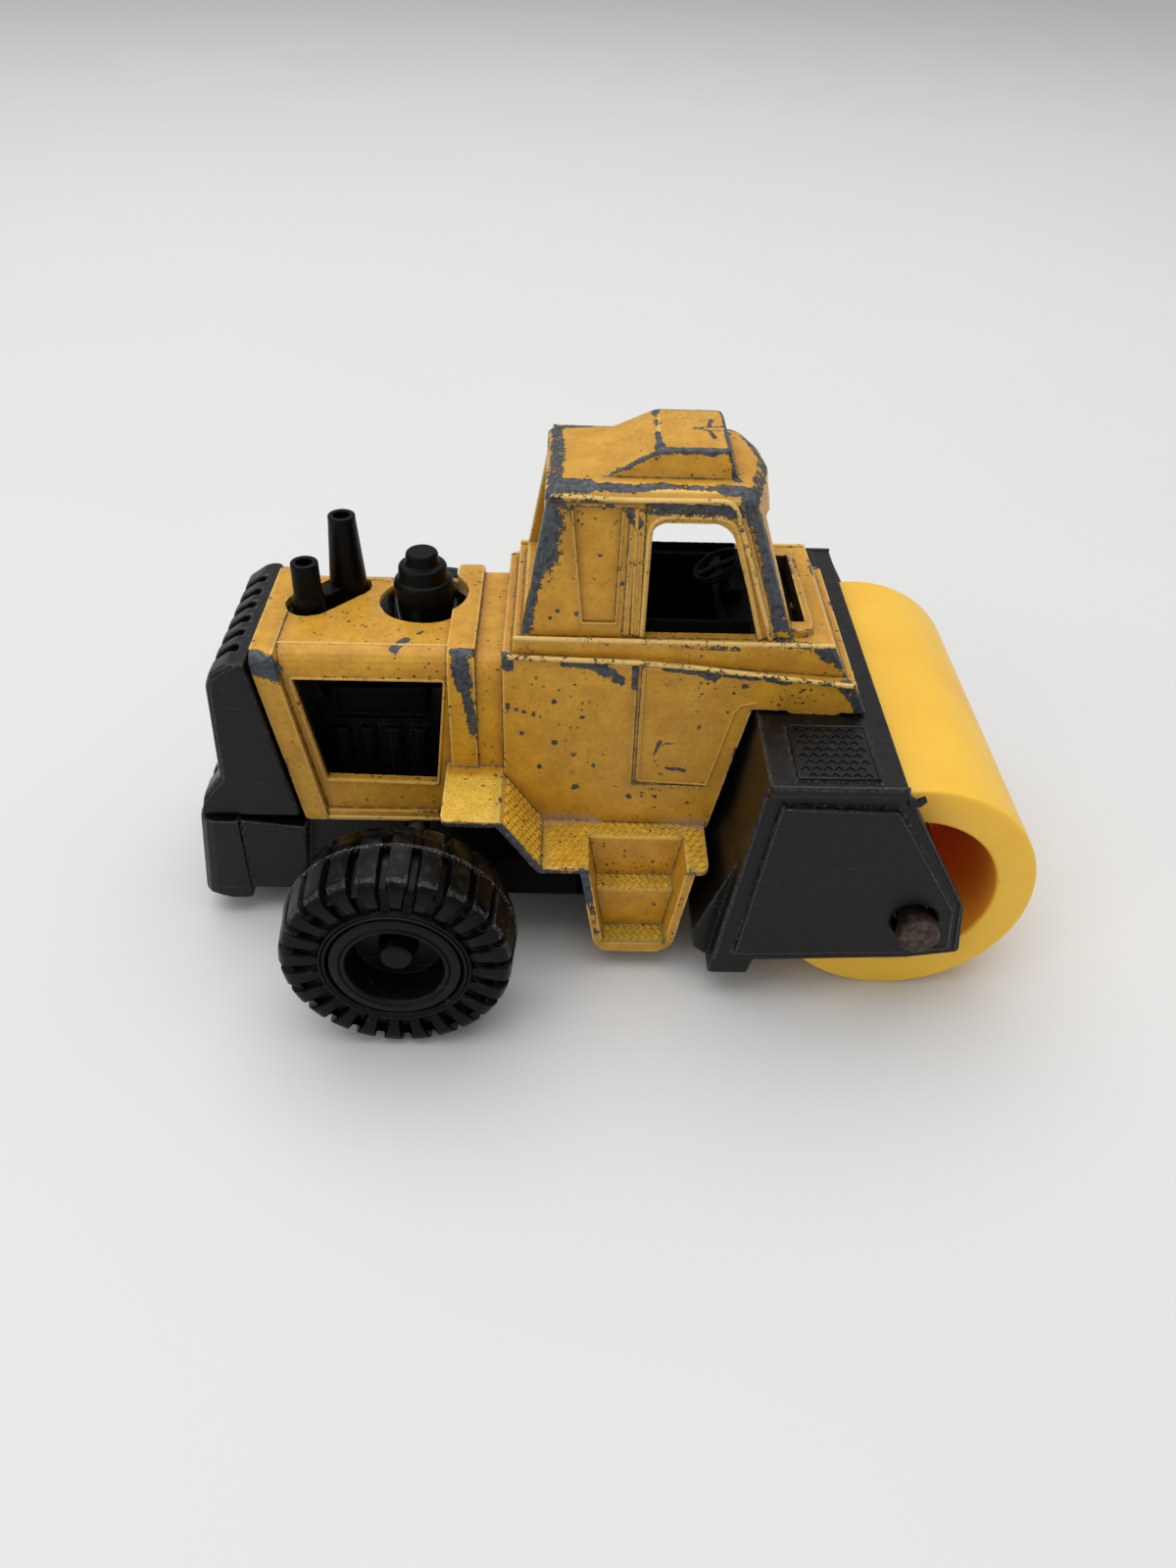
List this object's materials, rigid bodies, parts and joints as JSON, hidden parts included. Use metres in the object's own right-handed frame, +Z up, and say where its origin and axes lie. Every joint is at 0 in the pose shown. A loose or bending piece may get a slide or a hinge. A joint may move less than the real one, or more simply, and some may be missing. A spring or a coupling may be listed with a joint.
{
  "type": "toy road roller",
  "caption": "Die-cast toy road roller: painted cab-and-hood casting, black plastic base and yoke, free-turning smooth drum and a pair of lugged wheels on one axle.",
  "frame": {"origin": "middle of the footprint's bounding box, on the ground", "axes": "+X along the toy towards the drum and windscreen, +Y to the toy's left, +Z up"},
  "size_m": [0.1054, 0.0716, 0.0641],
  "materials": {
    "paint": "worn ochre-yellow enamel on a zinc casting, chipped to grey metal at edges",
    "black_plastic": "satin black plastic with dust and scuffs",
    "hub_plastic": "black plastic, dusty",
    "tyre_rubber": "dull black moulded tyre, dusty lugs",
    "drum_plastic": "smooth slightly translucent yellow plastic",
    "steel": "dull tarnished steel"
  },
  "bodies": {
    "toy_body": {"body_casting": "paint", "radiator_grille": "black_plastic", "base_moulding": "black_plastic", "drum_frame": "black_plastic", "drum_axle": "steel", "engine_block": "black_plastic", "exhaust_stacks": "black_plastic", "air_precleaner": "black_plastic", "cab_interior": "black_plastic", "driver_seat": "black_plastic", "steering_wheel": "black_plastic", "base_rivet": "steel", "frame_rivet": "steel"},
    "wheelset": {"wheel_axle": "steel", "wheel_hub_right": "hub_plastic", "wheel_hub_left": "hub_plastic", "tyre_right": "tyre_rubber", "tyre_left": "tyre_rubber"},
    "drum_roll": {"drum": "drum_plastic"}
  },
  "joints": [
    {"name": "wheelset_spin", "type": "hinge", "parent": "toy_body", "child": "wheelset", "pos_m": [-0.02385, 0, 0.0138], "axis": [0, 1, 0], "continuous": true},
    {"name": "drum_spin", "type": "hinge", "parent": "toy_body", "child": "drum_roll", "pos_m": [0.03665, 0, 0.016], "axis": [0, 1, 0], "continuous": true}
  ]
}
